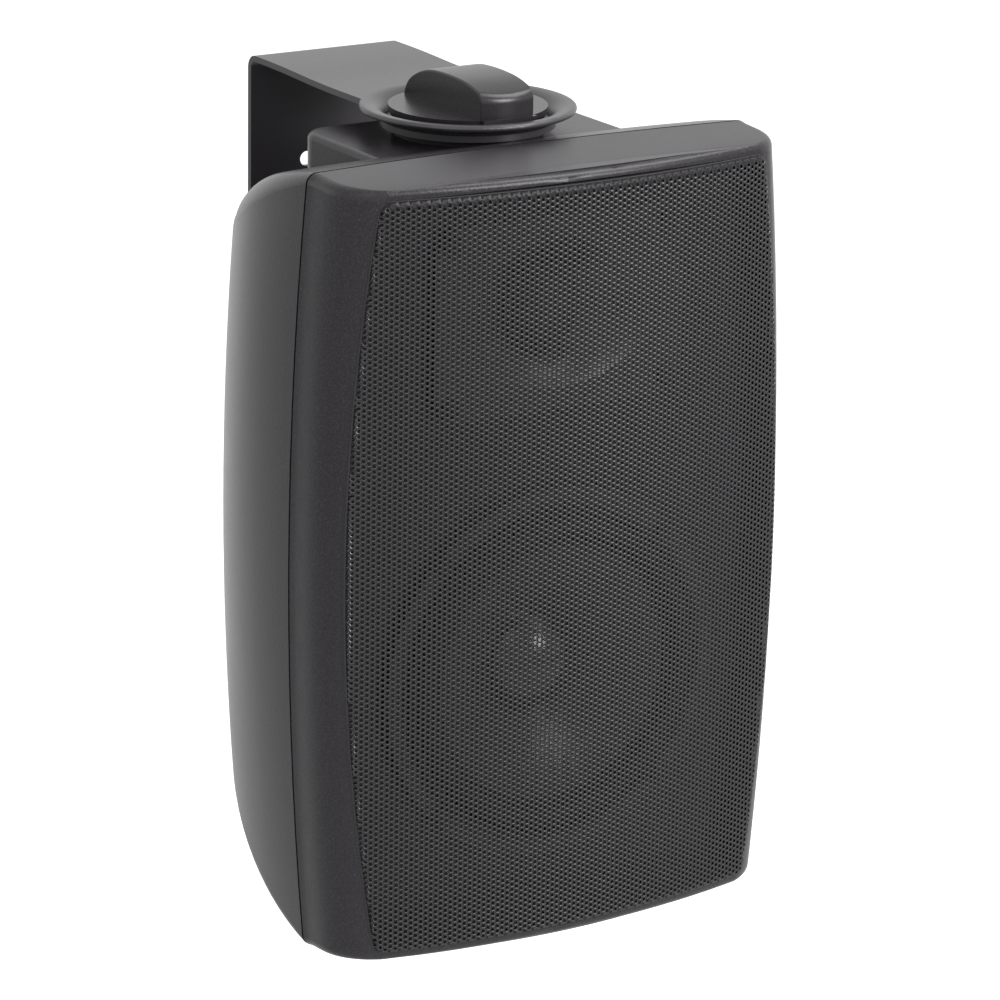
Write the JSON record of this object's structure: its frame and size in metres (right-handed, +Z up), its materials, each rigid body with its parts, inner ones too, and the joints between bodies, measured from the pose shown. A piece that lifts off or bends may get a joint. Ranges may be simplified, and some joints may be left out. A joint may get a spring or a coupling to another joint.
{
  "type": "wall speaker",
  "caption": "Two-way wall speaker in a barrel-sided moulded cabinet with a bowed perforated grille, hung from a folded bracket on a clamp knob.",
  "frame": {"origin": "centre of the bracket's wall leg, on its wall side", "axes": "+Y into the wall, +Z up along the cabinet's height, -Y to the front"},
  "size_m": [0.173, 0.1657, 0.2683],
  "materials": {
    "bracket_paint": "satin black powder coat",
    "cabinet_plastic": "fine spark-eroded grain, charcoal",
    "knob_plastic": "satin black",
    "grille_paint": "satin black powder coat on perforated sheet",
    "zinc_steel": "zinc plated",
    "black_screw": "black oxide",
    "brass_insert": "turned",
    "seal_foam": "closed-cell foam",
    "friction_rubber": "matte",
    "basket_paint": "black",
    "cone_plastic": "pressed polypropylene",
    "cap_plastic": "semi-gloss",
    "surround_rubber": "matte",
    "spider_cloth": "varnished weave",
    "copper_wire": "enamelled winding",
    "ferrite": "sintered",
    "dome_silk": "coated weave",
    "horn_plastic": "moulded",
    "panel_plastic": "moulded",
    "lever_red_plastic": "moulded",
    "lever_black_plastic": "moulded",
    "board_laminate": "phenolic laminate",
    "film_case": "film capacitor case",
    "ceramic": "cement"
  },
  "bodies": {
    "bracket": {"wall_bracket": "bracket_paint"},
    "cabinet": {"friction_ring": "friction_rubber", "thread_insert": "brass_insert", "rear_cabinet": "cabinet_plastic", "front_baffle": "cabinet_plastic", "cabinet_gasket": "seal_foam", "cabinet_screws": "black_screw", "grille": "grille_paint", "woofer_basket": "basket_paint", "woofer_surround": "surround_rubber", "woofer_gasket": "seal_foam", "woofer_spider": "spider_cloth", "woofer_top_plate": "zinc_steel", "woofer_magnet": "ferrite", "woofer_yoke": "zinc_steel", "woofer_screws": "black_screw", "tweeter_faceplate": "horn_plastic", "tweeter_dome": "dome_silk", "tweeter_coil": "copper_wire", "tweeter_top_plate": "zinc_steel", "tweeter_magnet": "ferrite", "tweeter_yoke": "zinc_steel", "tweeter_screws": "black_screw", "terminal_panel": "panel_plastic", "lever_pin": "zinc_steel", "terminal_contacts": "brass_insert", "terminal_screws": "black_screw", "crossover_board": "board_laminate", "crossover_inductor": "copper_wire", "crossover_capacitor": "film_case", "crossover_resistor": "ceramic", "board_screws": "zinc_steel"},
    "clamp_washer": {"knob_washer": "zinc_steel"},
    "knob": {"clamp_knob": "knob_plastic", "knob_stud": "zinc_steel"},
    "cone": {"woofer_cone": "cone_plastic", "woofer_dust_cap": "cap_plastic", "voice_coil": "copper_wire"},
    "red_lever": {"terminal_lever_red": "lever_red_plastic"},
    "black_lever": {"terminal_lever_black": "lever_black_plastic"}
  },
  "joints": [
    {"name": "cabinet_pan", "type": "hinge", "parent": "bracket", "child": "cabinet", "pos_m": [0, -0.0938, 0.0513], "axis": [0, 0, 1], "range_deg": [-60, 60]},
    {"name": "washer_lift", "type": "slide", "parent": "bracket", "child": "clamp_washer", "axis": [0, 0, 1], "range_m": [0, 0.00125]},
    {"name": "knob_turn", "type": "hinge", "parent": "clamp_washer", "child": "knob", "pos_m": [0, -0.0938, 0.0513], "axis": [0, 0, 1], "range_deg": [0, 360]},
    {"name": "cone_travel", "type": "slide", "parent": "cabinet", "child": "cone", "axis": [0, -1, 0], "range_m": [-0.003, 0.003], "stiffness_N_per_m": 900, "deforming": ["woofer_surround", "woofer_spider"]},
    {"name": "red_lever_press", "type": "hinge", "parent": "cabinet", "child": "red_lever", "pos_m": [-0.01, -0.0336, -0.1244], "axis": [1, 0, 0], "range_deg": [0, 18], "stiffness_Nm_per_rad": 0.08, "springref_deg": -14.32},
    {"name": "black_lever_press", "type": "hinge", "parent": "cabinet", "child": "black_lever", "pos_m": [0.01, -0.0336, -0.1244], "axis": [1, 0, 0], "range_deg": [0, 18], "stiffness_Nm_per_rad": 0.08, "springref_deg": -14.32}
  ],
  "couplings": [
    {"joint": "washer_lift", "follows": "knob_turn", "m_per_rad": 0.00019894}
  ]
}
